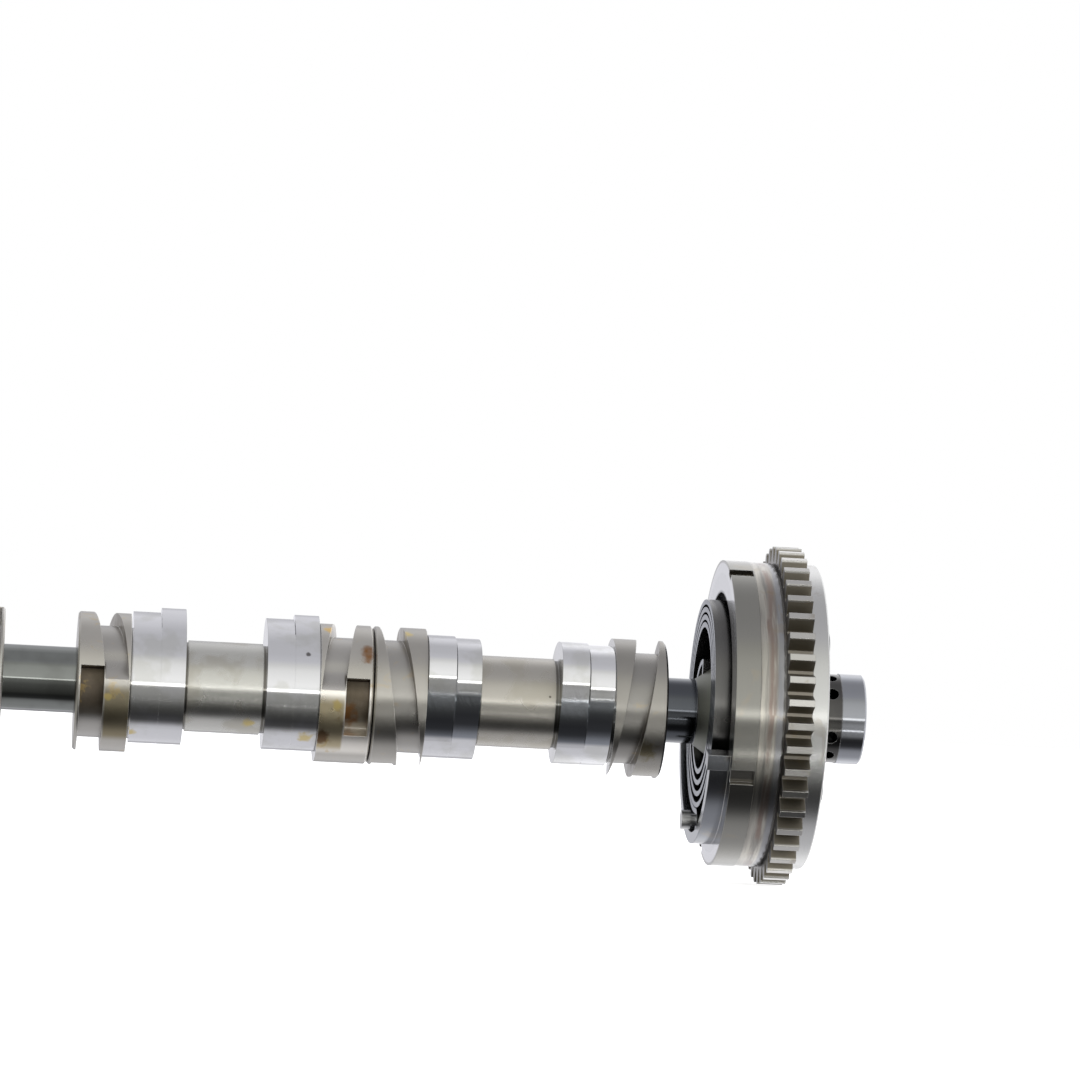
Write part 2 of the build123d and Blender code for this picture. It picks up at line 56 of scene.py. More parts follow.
# %% Place the camera
yaw, pitch, roll = math.radians(5.7), math.radians(1.617), math.radians(2.9)
looks_along = Vector((math.sin(yaw) * math.cos(pitch), math.cos(yaw) * math.cos(pitch), math.sin(pitch)))
stands_at, lens_mm = (-0.2472, -1.592, 0), 193.0
camera = bpy.data.objects.new("camera", bpy.data.cameras.new("camera"))
bpy.context.scene.collection.objects.link(camera)
level = looks_along.to_track_quat("-Z", "Y").to_matrix().to_4x4()
camera.matrix_world = Matrix.Translation(stands_at) @ level @ Matrix.Rotation(roll, 4, "Z")
camera.data.sensor_width = 36
camera.data.lens = lens_mm
camera.data.clip_start, camera.data.clip_end = 0.05, 50
bpy.context.scene.camera = camera
print("camera looks along", tuple(round(v, 4) for v in looks_along))

# %% [markdown]
# ## Helpers for nodes
# A finish is a small program drawn with nodes. Building it by hand in the editor is fine for one
# material, but here eight finishes share a few effects, so short helpers write the nodes: they
# add a node, do arithmetic, mix two values or colours, and make and place a node group.

# %% Nodes, arithmetic and mixing


def feed(tree, socket, value):
    """Gives an input a number, a colour or another node's output."""
    if isinstance(value, bpy.types.NodeSocket):
        tree.links.new(value, socket)
    else:
        socket.default_value = value


def add(tree, kind, inputs=None, **settings):
    """Adds a node with its settings and inputs."""
    made = tree.nodes.new(kind)
    for name, value in settings.items():
        setattr(made, name, value)
    for name, value in (inputs or {}).items():
        feed(tree, made.inputs[name], value)
    return made


def maths(tree, operation, *values):
    """One step of arithmetic on one to three values."""
    return add(tree, "ShaderNodeMath", dict(enumerate(values)), operation=operation).outputs[0]


def blend(tree, share, first, second, kind="RGBA", how="MIX"):
    """Goes from the first to the second as share goes from 0 to 1."""
    made = tree.nodes.new("ShaderNodeMix")
    made.data_type = kind
    if kind == "RGBA":
        made.blend_type = how
    first_at, second_at, result_at = {"RGBA": (6, 7, 2), "FLOAT": (2, 3, 0)}[kind]
    for number, value in ((0, share), (first_at, first), (second_at, second)):
        feed(tree, made.inputs[number], value)
    return made.outputs[result_at]


def between(tree, value, low, high):
    """Goes softly from 0 to 1 as a value goes from low to high, and is held outside them."""
    ends = {"Value": value, "From Min": low, "From Max": high}
    return add(tree, "ShaderNodeMapRange", ends, interpolation_type="SMOOTHSTEP").outputs["Result"]


def band(tree, value, low, high, soft):
    """1 between two values and 0 outside them, with soft ends."""
    rise = between(tree, value, low - soft, low + soft)
    return maths(tree, "MULTIPLY", rise, between(tree, value, high + soft, high - soft))


def both(tree, *shares):
    """The product of shares: only where all of them hold."""
    result = shares[0]
    for share in shares[1:]:
        result = maths(tree, "MULTIPLY", result, share)
    return result


def outside(tree, share):
    """The rest: where a share doesn't hold."""
    return maths(tree, "SUBTRACT", 1.0, share)


def x_of(tree, vector):
    """The part of a direction or place that lies along X."""
    return add(tree, "ShaderNodeSeparateXYZ", {0: vector}).outputs[0]


def colour(red, green, blue):
    return (red, green, blue, 1.0)


# %% Node groups


def group(name, takes, gives):
    """An empty node group with named sockets. Returns its tree, its inputs and its output node."""
    tree = bpy.data.node_groups.new(name, "ShaderNodeTree")
    kinds = {"value": "NodeSocketFloat", "colour": "NodeSocketColor", "vector": "NodeSocketVector"}
    for label, (kind, value) in takes.items():
        socket = tree.interface.new_socket(label, in_out="INPUT", socket_type=kinds[kind])
        if value is not None:
            socket.default_value = value
    for label, kind in gives.items():
        tree.interface.new_socket(label, in_out="OUTPUT", socket_type=kinds[kind])
    return tree, tree.nodes.new("NodeGroupInput").outputs, tree.nodes.new("NodeGroupOutput").inputs


def use(tree, effect, **inputs):
    """Places a node group, with this material's values. Underscores stand for spaces."""
    made = tree.nodes.new("ShaderNodeGroup")
    made.node_tree = effect
    for name, value in inputs.items():
        feed(tree, made.inputs[name.replace("_", " ")], value)
    return made.outputs


# %% [markdown]
# ## Where on the shaft
# Every finish here depends on a place: along the shaft, and out from its axis. The pieces' own
# coordinates give both, and they move with the piece when it slides or turns. This first group
# turns them into millimetres along the shaft, millimetres from the axis, and an angle about it that
# can be counted from a lobe's nose.

# %% Group: shaft places
places, taken, given = group(
    "shaft places",
    {"Start": ("value", 0.0), "Turn": ("value", 0.0)},
    {"Along": "value", "Out": "value", "Angle": "value", "Point": "vector"},
)
point = add(places, "ShaderNodeTexCoord").outputs["Object"]
in_mm = add(places, "ShaderNodeVectorMath", {0: point, 3: 1000.0}, operation="SCALE").outputs[0]
split = add(places, "ShaderNodeSeparateXYZ", {0: in_mm}).outputs
places.links.new(maths(places, "SUBTRACT", split[0], taken["Start"]), given["Along"])
squares = [maths(places, "POWER", side, 2.0) for side in split[1:3]]
places.links.new(maths(places, "SQRT", maths(places, "ADD", *squares)), given["Out"])
front = maths(places, "MULTIPLY", split[1], -1.0)
angle = maths(places, "MULTIPLY", maths(places, "ARCTAN2", split[2], front), 180 / math.pi)
turned = maths(places, "WRAP", maths(places, "SUBTRACT", angle, taken["Turn"]), 360.0, 0.0)
places.links.new(turned, given["Angle"])
places.links.new(in_mm, given["Point"])
print(len(places.nodes), "nodes say where on the shaft")

# %% [markdown]
# ## Turned and ground grain
# A lathe or a grinding wheel leaves fine rings that run round the shaft. An image of brushed metal
# would need unwrapped faces. A noise that changes fast along the shaft and hardly at all round it
# gives the same rings on every turned face, and needs nothing but the place.

# %% Group: turned grain
grain, taken, given = group(
    "turned grain",
    {"Along": ("value", 0.0), "Out": ("value", 0.0), "Point": ("vector", None),
     "Rings per mm": ("value", 4.0), "Patches": ("value", 0.08)},
    {"Rings": "value", "Patch": "value"},
)
spread = maths(grain, "ADD", taken["Along"], maths(grain, "MULTIPLY", taken["Out"], 1.31))
fine = maths(grain, "MULTIPLY", spread, taken["Rings per mm"])
fine_noise = {"W": fine, "Detail": 3.0, "Roughness": 0.7}
rings = add(grain, "ShaderNodeTexNoise", fine_noise, noise_dimensions="1D")
wide_noise = {"Vector": taken["Point"], "Scale": taken["Patches"], "Detail": 3.0}
patch = add(grain, "ShaderNodeTexNoise", wide_noise)
grain.links.new(rings.outputs[0], given["Rings"])
grain.links.new(patch.outputs[0], given["Patch"])
print(len(grain.nodes), "nodes make the grain")

# %% [markdown]
# ## Worn edges
# Handling and wear leave a bright line on every machined edge. A painted mask would be lost when
# a size changes. The Bevel node rounds the normal near an edge, so comparing it with the true
# normal finds the edges of any shape, and its rounded normal also catches the light as a real
# broken edge does.

# %% Group: worn edges
edges, taken, given = group(
    "worn edges",
    {"Radius mm": ("value", 0.25)},
    {"Edge": "value", "Normal": "vector"},
)
radius = maths(edges, "MULTIPLY", taken["Radius mm"], 0.001)
rounded = add(edges, "ShaderNodeBevel", {"Radius": radius}, samples=4)
true_normal = add(edges, "ShaderNodeNewGeometry").outputs["Normal"]
same = add(edges, "ShaderNodeVectorMath", {0: rounded.outputs[0], 1: true_normal}, operation="DOT_PRODUCT")
edges.links.new(between(edges, same.outputs["Value"], 0.995, 0.9), given["Edge"])
edges.links.new(rounded.outputs[0], given["Normal"])
print(len(edges.nodes), "nodes find the edges")

# %% [markdown]
# ## Oil stains
# Old engine oil dries to a thin brown and yellow film that gathers in patches. It could be placed
# by hand, but it also turns up in every corner, so a soft noise decides where it lies, and each
# finish says how much there is. Where the film is thick it is browner.

# %% Group: oil film
oil, taken, given = group(
    "oil film",
    {"Point": ("vector", None), "Amount": ("value", 0.3), "Size": ("value", 0.12),
     "Thin": ("colour", colour(0.62, 0.44, 0.14)), "Thick": ("colour", colour(0.16, 0.08, 0.025))},
    {"Film": "value", "Colour": "colour"},
)
torn_noise = {
    "Vector": taken["Point"], "Scale": taken["Size"], "Detail": 5.0, "Roughness": 0.62, "Distortion": 0.6
}
clouds = add(oil, "ShaderNodeTexNoise", torn_noise).outputs[0]
edge_of_film = maths(oil, "SUBTRACT", 1.0, taken["Amount"])
film = between(oil, clouds, edge_of_film, maths(oil, "ADD", edge_of_film, 0.08))
thick = between(oil, clouds, maths(oil, "ADD", edge_of_film, 0.05), maths(oil, "ADD", edge_of_film, 0.2))
oil.links.new(film, given["Film"])
oil.links.new(blend(oil, thick, taken["Thin"], taken["Thick"]), given["Colour"])
print(len(oil.nodes), "nodes lay the oil")

# %% [markdown]
# ## Single spots of oil
# A few stains sit where a drop ran and dried: on a land beside a groove, or low on a lobe. Noise
# can't be told where to put them, and a painted image would need unwrapping. A spot needs only a
# place on the piece and a reach, and noise frays its edge.

# %% Group: oil spot
spot, taken, given = group(
    "oil spot",
    {"Point": ("vector", None), "Place": ("vector", None), "Reach": ("value", 2.0)},
    {"Share": "value"},
)
fray_noise = {"Vector": taken["Point"], "Scale": 0.55, "Detail": 3.0}
frayed = add(spot, "ShaderNodeTexNoise", fray_noise).outputs[0]
gap = add(spot, "ShaderNodeVectorMath", {0: taken["Point"], 1: taken["Place"]}, operation="DISTANCE")
away = maths(spot, "DIVIDE", gap.outputs["Value"], taken["Reach"])
away = maths(spot, "MULTIPLY_ADD", maths(spot, "SUBTRACT", frayed, 0.5), 1.3, away)
spot.links.new(between(spot, away, 1.0, 0.3), given["Share"])
print("effects:", [effect.name for effect in bpy.data.node_groups])

# %% [markdown]
# ## A material to start from
# All pieces but the seals are bare steel. Each could have a shader of its own, but one function
# makes the same start for all: metallic, with the colour, the roughness and the normal left to the
# finish. The shader itself stays in the material, where the export can read it.

# %% Steel


def steel(name, edge_mm=0.25, start=0.0, turn=0.0):
    """A metal material, with the places and the edges that every finish needs."""
    material = bpy.data.materials.new(name)
    material.use_nodes = True
    tree = material.node_tree
    shader = tree.nodes["Principled BSDF"]
    shader.inputs["Metallic"].default_value = 1.0
    place = use(tree, places, Start=start, Turn=turn)
    edge = use(tree, edges, Radius_mm=edge_mm) if edge_mm else None
    return material, tree, shader, place, edge


def grain_of(tree, place, per_mm, patches=0.08):
    """The turned grain at a piece's places: rings per millimetre, and how small the patches are."""
    where = {"Along": place["Along"], "Out": place["Out"], "Point": place["Point"]}
    return use(tree, grain, **where, Rings_per_mm=per_mm, Patches=patches)


def worn(tree, base, edge, share, shade):
    """Lays a brighter colour on the edges."""
    return blend(tree, both(tree, edge["Edge"], share), base, colour(*shade))


def finish(tree, shader, base, rough, height, normal, bump=0.05):
    """Feeds a finish's colour, roughness and height into its shader."""
    feed(tree, shader.inputs["Base Color"], base)
    feed(tree, shader.inputs["Roughness"], rough)
    ridges = {"Strength": bump, "Distance": 0.00005, "Height": height, "Normal": normal}
    tree.links.new(add(tree, "ShaderNodeBump", ridges).outputs[0], shader.inputs["Normal"])


def dress(names, material):
    """Gives CAD pieces their material."""
    for name in names:
        slots = nodes[name].data.materials
        slots.clear()
        slots.append(material)
    print(material.name, "on", ", ".join(names))


# %% [markdown]
# ## Cam pieces
# A cam piece is one forging with three finishes. The lobes are ground to a mirror, the journal in
# the middle is lapped to a satin, and the switching grooves at the ends are milled and left with
# old oil in them. Three materials would need the faces to be sorted, so one material reads the
# place along the piece and out from its axis, and goes from finish to finish there. Oil stays
# darkest in the grooves' blind pockets, so their angles are counted from the lobes' noses. Two of
# the pieces also have a dark band of reflection painted on one flank of their lobes.

# %% Sizes of the finishes on a cam piece
half_piece, unit_mm, pocket_mm, journal_mm, lobes_mm = 40.3, 14.4, 7.4, 20.4, 25.5
unit_r, floor_r, lobe_base_r = 19.0, 15.35, 16.3
unit_starts = half_piece - unit_mm

# Degrees from the lobes' noses.
pocket_starts, pocket_rises, pocket_ends = 206.0, 222.0, 262.0
# Where the dark band of reflection is painted on the lobes' flank, with its darkest and palest ends.
dark_band_starts, dark_band_darkest, dark_band_palest, dark_band_ends = 293.0, 305.0, 335.0, 338.0
oily_land_starts, oily_land_ends = 190.0, 238.0
print(f"a switching unit starts {unit_starts:.1f} mm from the middle of its piece")

# %% [markdown]
# ## Where the single spots are
# The photograph shows certain stains on the two whole pieces, and noise can't put them there. They
# could be one drawn image, but a list of places in millimetres, reaches and colours can be read
# and changed. The two pieces behind get two spots each, so that they don't look cleaner.

# %% List the spots
yellow, amber, rust = (0.62, 0.49, 0.18), (0.70, 0.45, 0.10), (0.26, 0.12, 0.04)
brown, dark = (0.15, 0.065, 0.02), (0.05, 0.04, 0.03)
piece_spots = {
    1: [
        ((-124.5, -8.0, 17.2), 2.2, yellow),
        ((-123.3, -16.3, 4.7), 0.7, dark),
        ((-84.6, -12.3, 2.0), 0.5, dark),
        ((-58.0, -14.5, -11.5), 4.5, (0.20, 0.17, 0.09)),
    ],
    2: [
        ((-135.5, -14.2, 12.6), 1.9, rust),
        ((-135.3, -15.3, 11.3), 2.3, rust),
        ((-135.4, -16.3, 9.8), 1.9, rust),
        ((-145.0, -7.9, 17.3), 2.6, amber),
        ((-143.3, -18.7, -3.2), 1.8, yellow),
        ((-140.9, -14.4, -5.6), 4.6, (0.20, 0.085, 0.02)),
        ((-151.2, -10.5, -12.4), 2.6, yellow),
        ((-166.6, -8.3, -9.3), 2.4, yellow),
        ((-198.5, -9.3, -13.4), 1.8, yellow),
        ((-205.5, -18.5, -4.1), 1.4, yellow),
        ((-151.4, -12.7, 10.2), 0.9, dark),
        ((-147.0, -14.6, -12.2), 3.4, brown),
    ],
    3: [((-248.0, -17.5, 8.0), 2.6, yellow), ((-300.0, 10.0, 12.5), 2.8, amber)],
    4: [((-330.0, -16.5, -9.0), 2.6, yellow), ((-378.0, -9.5, 12.5), 2.4, yellow)],
}
print(sum(len(spots) for spots in piece_spots.values()), "spots of oil")

# %% [markdown]
# ## A cam piece's zones
# Each finish has a zone: the units with their grooves and pockets at the ends, the journal in the
# middle, the lobes between them, and the thin dark lines where one meets the next. Painted masks
# would blur when seen close. A zone here is a share from 0 to 1 that is worked out from the place
# alone, so it stays sharp at any size of picture.

# %% Zones


def zones_of(tree, place, moved):
    """The shares of a cam piece's zones. Moved is how far the journal is off the middle."""
    angle, out = place["Angle"], place["Out"]
    from_journal = maths(tree, "ABSOLUTE", place["Along"])
    from_middle = maths(tree, "ABSOLUTE", maths(tree, "ADD", place["Along"], moved))
    seam = band(tree, from_middle, lobes_mm - 0.1, unit_starts - 0.1, 0.2)
    outer = between(tree, from_middle, half_piece - pocket_mm - 0.7, half_piece - pocket_mm)
    deep = between(tree, out, unit_r - 0.3, floor_r + 1.0)
    facing = maths(tree, "ABSOLUTE", x_of(tree, add(tree, "ShaderNodeTexCoord").outputs["Normal"]))
    wall = [
        between(tree, facing, 0.55, 0.85),
        band(tree, from_middle, unit_starts + 0.7, half_piece - 0.7, 0.2),
        between(tree, out, unit_r + 0.1, unit_r - 0.5),
    ]
    return {
        "unit": between(tree, from_middle, unit_starts - 0.1, unit_starts + 0.1),
        "journal": between(tree, from_journal, journal_mm / 2 + 0.2, journal_mm / 2),
        "corner": band(tree, from_journal, journal_mm / 2 + 0.1, journal_mm / 2 + 0.9, 0.15),
        "seam": both(tree, seam, between(tree, out, lobe_base_r - 0.1, lobe_base_r - 0.7)),
        "deep": deep,
        "outer": outer,
        "pocket": both(tree, outer, deep, band(tree, angle, pocket_starts, pocket_ends, 4.0)),
        "wall": both(tree, *wall),
        # The flank holds the painted dark band of reflection.
        "flank": band(tree, angle, dark_band_starts, dark_band_ends, 3.0),
    }


# %% [markdown]
# ## A cam piece's finishes
# Ground, lapped and milled steel each have their own shade and grain, and old oil lies over all of
# them. One long recipe could say that, but a function for each finish can be read and changed
# alone. Each is made as if it covered the whole piece, and is laid on its zone afterwards, with
# the oil last.

# %% Ground lobes, lapped journal, milled units and oily pockets


def tone(shade, times):
    """A colour made lighter or darker."""
    return colour(*[times * part for part in shade])


def ground_lobes(tree, place, marks, wide, on_dark_band, painted_dark_band):
    base = blend(tree, marks["Rings"], colour(0.68, 0.68, 0.69), colour(0.80, 0.80, 0.80))
    dull = both(tree, between(tree, wide, 0.46, 0.62), 0.7)
    base = blend(tree, dull, base, colour(0.63, 0.63, 0.60))
    # A dark band of reflection is painted on the flank, darkest towards its start.
    darker_in_band = between(tree, place["Angle"], dark_band_palest, dark_band_darkest)
    painted_band_colour = blend(tree, darker_in_band, colour(0.50, 0.53, 0.56), colour(0.27, 0.29, 0.32))
    return blend(tree, both(tree, on_dark_band, painted_dark_band), base, painted_band_colour)


def lapped_journal(tree, marks, wide, shade):
    base = blend(tree, marks["Rings"], tone(shade, 0.90), tone(shade, 1.08))
    stained = both(tree, between(tree, wide, 0.47, 0.62), 0.45)
    return blend(tree, stained, base, tone((0.43, 0.40, 0.32), 0.95))


def milled_unit(tree, marks, times):
    shades = (0.44, 0.42, 0.375), (0.60, 0.58, 0.53)
    return blend(tree, marks["Patch"], *[tone(shade, times) for shade in shades])


def oily_pocket(tree, place, marks):
    streaks = blend(tree, 0.5, marks["Rings"], marks["Patch"], "FLOAT")
    streaks = between(tree, streaks, 0.36, 0.64)
    base = blend(tree, streaks, colour(0.062, 0.050, 0.034), colour(0.185, 0.155, 0.118))
    rising = between(tree, place["Angle"], pocket_rises, pocket_starts)
    return blend(tree, rising, base, colour(0.22, 0.20, 0.17))


def roughness_of(tree, zones, marks, wide):
    polished = maths(tree, "MULTIPLY_ADD", wide, 0.12, maths(tree, "MULTIPLY", marks["Rings"], 0.06))
    satin = maths(tree, "MULTIPLY_ADD", wide, 0.16, 0.19)
    rough = blend(tree, zones["journal"], polished, satin, "FLOAT")
    milled = maths(tree, "MULTIPLY_ADD", marks["Patch"], 0.2, 0.2)
    rough = blend(tree, zones["unit"], rough, milled, "FLOAT")
    return blend(tree, zones["pocket"], rough, 0.46, "FLOAT")


# %% A whole cam piece


def cam_steel(number, middle, moved, turn, lapped_shade, milled_tone, oiliness, painted_dark_band):
    """The material of one cam piece."""
    made, tree, shader, place, _ = steel(f"cam_steel_{number}", None, middle + moved, turn)
    marks = grain_of(tree, place, 5.0)
    wide = use(tree, grain, Point=place["Point"], Patches=0.11)["Patch"]
    film = use(tree, oil, Point=place["Point"], Amount=0.40, Size=0.16)
    zones = zones_of(tree, place, moved)
    unit, pocket = zones["unit"], zones["pocket"]
    edge = use(tree, edges, Radius_mm=maths(tree, "MULTIPLY_ADD", unit, 0.25, 0.04))

    lobes = ground_lobes(tree, place, marks, wide, zones["flank"], painted_dark_band)
    base = blend(tree, zones["journal"], lobes, lapped_journal(tree, marks, wide, lapped_shade))
    base = blend(tree, unit, base, milled_unit(tree, marks, milled_tone))
    floor_shade = tone((0.40, 0.39, 0.37), milled_tone)
    base = blend(tree, both(tree, unit, zones["deep"], 0.45), base, floor_shade)
    if moved > 0:
        below = band(tree, place["Angle"], oily_land_starts, oily_land_ends, 5.0)
        inner_land = both(tree, unit, outside(tree, zones["outer"]), below)
        oily = blend(tree, marks["Patch"], colour(0.22, 0.185, 0.11), colour(0.42, 0.37, 0.26))
        base = blend(tree, inner_land, base, oily)
    # The groove walls are darkened in brown patches: grime, and painted shade on the walls.
    grime_and_shade = both(tree, zones["wall"], between(tree, marks["Patch"], 0.35, 0.55), 0.8)
    base = blend(tree, grime_and_shade, base, colour(0.13, 0.105, 0.065))
    base = blend(tree, pocket, base, oily_pocket(tree, place, marks))

    if number in paler_sides:
        side, times, first, last = paler_sides[number]
        on_side = between(tree, place["Along"], -side, side)
        wiped = both(tree, on_side, unit, band(tree, place["Angle"], first, last, 5.0))
        base = blend(tree, wiped, base, colour(times, times, times), how="MULTIPLY")
    stained = both(tree, film["Film"], maths(tree, "MULTIPLY_ADD", unit, oiliness, 0.02))
    base = blend(tree, stained, base, film["Colour"])
    for where, reach, shade in piece_spots[number]:
        share = use(tree, spot, Point=place["Point"], Place=where, Reach=reach)["Share"]
        base = blend(tree, both(tree, share, 0.8), base, colour(*shade))
    bright = both(tree, maths(tree, "MULTIPLY_ADD", unit, 0.35, 0.1), outside(tree, pocket))
    base = worn(tree, base, edge, bright, (0.85, 0.84, 0.80))
    lines = maths(tree, "MAXIMUM", zones["corner"], zones["seam"])
    base = blend(tree, both(tree, lines, 0.85), base, colour(0.07, 0.06, 0.035))
    rough = roughness_of(tree, zones, marks, wide)
    finish(tree, shader, base, rough, marks["Rings"], edge["Normal"], bump=0.06)
    dress([f"cam_piece_{number}"], made)


# %% [markdown]
# ## Four cam pieces
# The pieces differ in where their lobes point, how far their journal is off their middle, how
# bright the journal is, and how much oil is on them. Copies of one material would hide that, so
# each piece has a row of numbers.

# %% Dress the cam pieces
noses = [27.0, 117.0, 297.0, 207.0]
journals_moved = [-0.3, 0.3, -0.3, 0.3]
lapped_shades = [(0.48, 0.46, 0.41), (0.59, 0.585, 0.54), (0.55, 0.54, 0.49), (0.52, 0.50, 0.45)]
milled_tones = [0.68, 0.97, 0.85, 0.92]
oiliness = [0.15, 0.35, 0.40, 0.30]
# How strongly each piece's lobes get the painted dark band of reflection.
painted_dark_bands = [0.9, 0.0, 0.0, 0.6]
# Wiped cleaner: -1 for the rear unit or 1 for the front one, how much paler, from and to degrees.
paler_sides = {1: (-1.0, 1.25, -20.0, 380.0), 2: (1.0, 1.75, 185.0, 247.0), 4: (-1.0, 1.3, 60.0, 300.0)}
rows = zip(journals_moved, noses, lapped_shades, milled_tones, oiliness, painted_dark_bands)
for number, row in enumerate(rows, start=1):
    low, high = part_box(f"cam_piece_{number}")
    middle = (low.x + high.x) * 500
    cam_steel(number, middle, *row)
    print(f"cam piece {number}: middle at {middle:.2f} mm, noses at {row[1]:.0f} degrees")

# %% [markdown]
# ## Base shaft
# The bare shaft between the cam pieces is ground, then darkened by hot oil to a blue-grey. Painted
# grey would look dull: the low roughness keeps the crisp light lines along it. In the photograph
# it is bluest near the phaser, and the flare beside the phaser's spring is matt.

# %% Base shaft and small dark steel
bluest, greenest = -60.0, -215.0
flare_starts, flare_ends = -43.2, -38.9
made, tree, shader, place, edge = steel("dark_steel")
marks = grain_of(tree, place, 3.0)
blued = blend(tree, marks["Rings"], colour(0.080, 0.086, 0.095), colour(0.105, 0.112, 0.122))
greener = blend(tree, marks["Rings"], colour(0.205, 0.215, 0.20), colour(0.265, 0.275, 0.26))
base = blend(tree, between(tree, place["Along"], bluest, greenest), blued, greener)
dull = both(tree, between(tree, marks["Patch"], 0.55, 0.75), 0.4)
base = blend(tree, dull, base, colour(0.13, 0.13, 0.12))
base = worn(tree, base, edge, 0.5, (0.45, 0.45, 0.44))
flare = band(tree, place["Along"], flare_starts, flare_ends, 0.15)
base = blend(tree, flare, base, colour(0.24, 0.245, 0.215))
polished = maths(tree, "MULTIPLY_ADD", marks["Rings"], 0.06, 0.06)
rough = blend(tree, flare, polished, 0.42, "FLOAT")
finish(tree, shader, base, rough, marks["Rings"], edge["Normal"], bump=0.03)
dress(["base_shaft", "cover_screws", "valve_retaining_ring"], made)

# %% [markdown]
# ## Sprocket and phaser body
# One sintered part holds the teeth and the phaser's body. Chain links polish the teeth's lands
# and brown oil stays in the gaps. Just below the tips the flanks are also painted darker, as the
# shade in the gaps, and the very root is left paler. Heat and oil leave a pinkish-brown streak
# round the middle of the body, and the turned ring beside the teeth stays bluer.

# %% Sprocket: the body
inner_r, root_r, land_r = 40.5, 42.7, 46.6
pale_starts, pale_ends, streak_starts, streak_ends = -30.0, -28.9, -28.0, -26.6
blue_starts, blue_full, teeth_start, teeth_end = -26.2, -25.2, -23.25, -16.25
made, tree, shader, place, edge = steel("sprocket_steel", 0.25)
along, out = place["Along"], place["Out"]
marks = grain_of(tree, place, 2.5, 0.09)
film = use(
    tree, oil, Point=place["Point"], Amount=0.42, Size=0.1,
    Thin=colour(0.30, 0.24, 0.15), Thick=colour(0.12, 0.09, 0.06),
)
round_it = add(tree, "ShaderNodeCombineXYZ", {0: along, 1: maths(tree, "MULTIPLY", place["Angle"], 0.06)})
long_noise = {"Vector": round_it.outputs[0], "Scale": 0.75, "Detail": 4.0}
clouds = add(tree, "ShaderNodeTexNoise", long_noise).outputs[0]
cloudy = between(tree, clouds, 0.32, 0.66)
body = blend(tree, cloudy, colour(0.235, 0.225, 0.205), colour(0.45, 0.43, 0.38))
pale = both(tree, band(tree, along, pale_starts, pale_ends, 0.5), 0.55)
body = blend(tree, pale, body, colour(0.46, 0.445, 0.39))
wander = maths(tree, "MULTIPLY_ADD", maths(tree, "SUBTRACT", clouds, 0.5), 4.0, along)
broken = between(tree, marks["Patch"], 0.36, 0.50)
streak = both(tree, band(tree, wander, streak_starts, streak_ends, 0.6), broken)
body = blend(tree, streak, body, colour(0.265, 0.215, 0.185))
bluish = both(tree, between(tree, along, blue_starts, blue_full), 0.8)
body = blend(tree, bluish, body, colour(0.27, 0.275, 0.29))

# %% Sprocket: the teeth
land = blend(tree, marks["Rings"], colour(0.50, 0.49, 0.455), colour(0.62, 0.61, 0.575))
on_land = between(tree, out, land_r - 0.6, land_r)
at_root = between(tree, out, root_r + 0.4, root_r)
# The flanks are brown oil with painted shade over it; the root is paler.
flank = blend(tree, at_root, colour(0.22, 0.20, 0.16), colour(0.31, 0.285, 0.24))
among_teeth = band(tree, along, teeth_start, teeth_end, 0.08)
base = blend(tree, among_teeth, body, blend(tree, on_land, flank, land))
inside = between(tree, out, inner_r + 0.4, inner_r)
base = blend(tree, inside, base, colour(0.20, 0.19, 0.165))
base = blend(tree, both(tree, film["Film"], 0.3), base, film["Colour"])
base = worn(tree, base, edge, 0.4, (0.60, 0.59, 0.56))
rough = maths(tree, "MULTIPLY_ADD", marks["Patch"], 0.16, 0.12)
in_gaps = both(tree, among_teeth, outside(tree, on_land))
rough = blend(tree, in_gaps, rough, 0.50, "FLOAT")
finish(tree, shader, base, rough, marks["Rings"], edge["Normal"], bump=0.06)
dress(["stator_sprocket"], made)

# %% [markdown]
# ## Phaser covers
# Both covers are turned plates: fine rings on the rim, broader ones on the faces. The rear one has
# worked in hot oil and is darker, and its recess is painted nearly black as shade. One material
# would need a mask for the plate in front, so each cover has its own.

